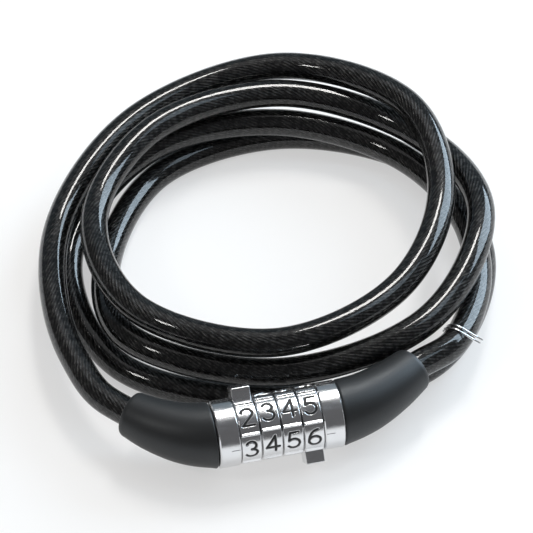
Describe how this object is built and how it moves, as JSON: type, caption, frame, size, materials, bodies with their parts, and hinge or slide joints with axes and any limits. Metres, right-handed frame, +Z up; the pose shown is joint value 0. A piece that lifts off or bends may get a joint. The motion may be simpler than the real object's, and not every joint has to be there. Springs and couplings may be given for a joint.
{
  "type": "cable lock",
  "caption": "Coiled cable lock: a sleeved wire rope wound in loose loops, its two booted ends joined by a short plated barrel with number dials that free a sliding plug.",
  "frame": {"origin": "on the floor under the middle of the lock's own box, barrel and boots without the cable", "axes": "+X along the barrel from the plug to the fixed end, +Z up, +Y towards the coil"},
  "size_m": [0.133, 0.1458, 0.0311],
  "materials": {
    "plated_metal": "satin plated",
    "dial_metal": "satin plated, numbers filled black",
    "inner_steel": "machined",
    "washer_brass": "stamped",
    "ferrule_metal": "crimped",
    "boot_plastic": "matte moulded",
    "sleeve_vinyl": "clear smoke vinyl, glossy",
    "rope_steel": "twisted strands",
    "tie_metal": "bright wire"
  },
  "bodies": {
    "barrel": {"barrel_body": "plated_metal", "right_collar": "plated_metal", "collar_pin": "inner_steel", "spacer_1": "washer_brass", "spacer_2": "washer_brass", "spacer_3": "washer_brass", "thrust_washer": "washer_brass", "detent_spring": "inner_steel", "anchor_ferrule": "ferrule_metal", "anchor_pin": "inner_steel", "right_boot": "boot_plastic", "cable_sheath": "sleeve_vinyl", "cable_core": "rope_steel", "tie_wire": "tie_metal"},
    "dial_a": {"dial_1": "dial_metal"},
    "dial_b": {"dial_2": "dial_metal"},
    "dial_c": {"dial_3": "dial_metal"},
    "dial_d": {"dial_4": "dial_metal"},
    "plug": {"plug_bolt": "inner_steel", "plug_ferrule": "ferrule_metal", "plug_pin": "inner_steel", "left_boot": "boot_plastic", "lead_sheath": "sleeve_vinyl", "lead_core": "rope_steel"}
  },
  "joints": [
    {"name": "dial_1_turn", "type": "hinge", "parent": "barrel", "child": "dial_a", "pos_m": [-0.0012, -0.0032, 0.0124], "axis": [1, 0, 0], "continuous": true},
    {"name": "dial_2_turn", "type": "hinge", "parent": "barrel", "child": "dial_b", "pos_m": [-0.0012, -0.0032, 0.0124], "axis": [1, 0, 0], "continuous": true},
    {"name": "dial_3_turn", "type": "hinge", "parent": "barrel", "child": "dial_c", "pos_m": [-0.0012, -0.0032, 0.0124], "axis": [1, 0, 0], "continuous": true},
    {"name": "dial_4_turn", "type": "hinge", "parent": "barrel", "child": "dial_d", "pos_m": [-0.0012, -0.0032, 0.0124], "axis": [1, 0, 0], "continuous": true},
    {"name": "plug_slide", "type": "slide", "parent": "barrel", "child": "plug", "axis": [-1, 0, 0], "range_m": [0, 0.03], "deforming": ["lead_sheath", "lead_core"]}
  ]
}
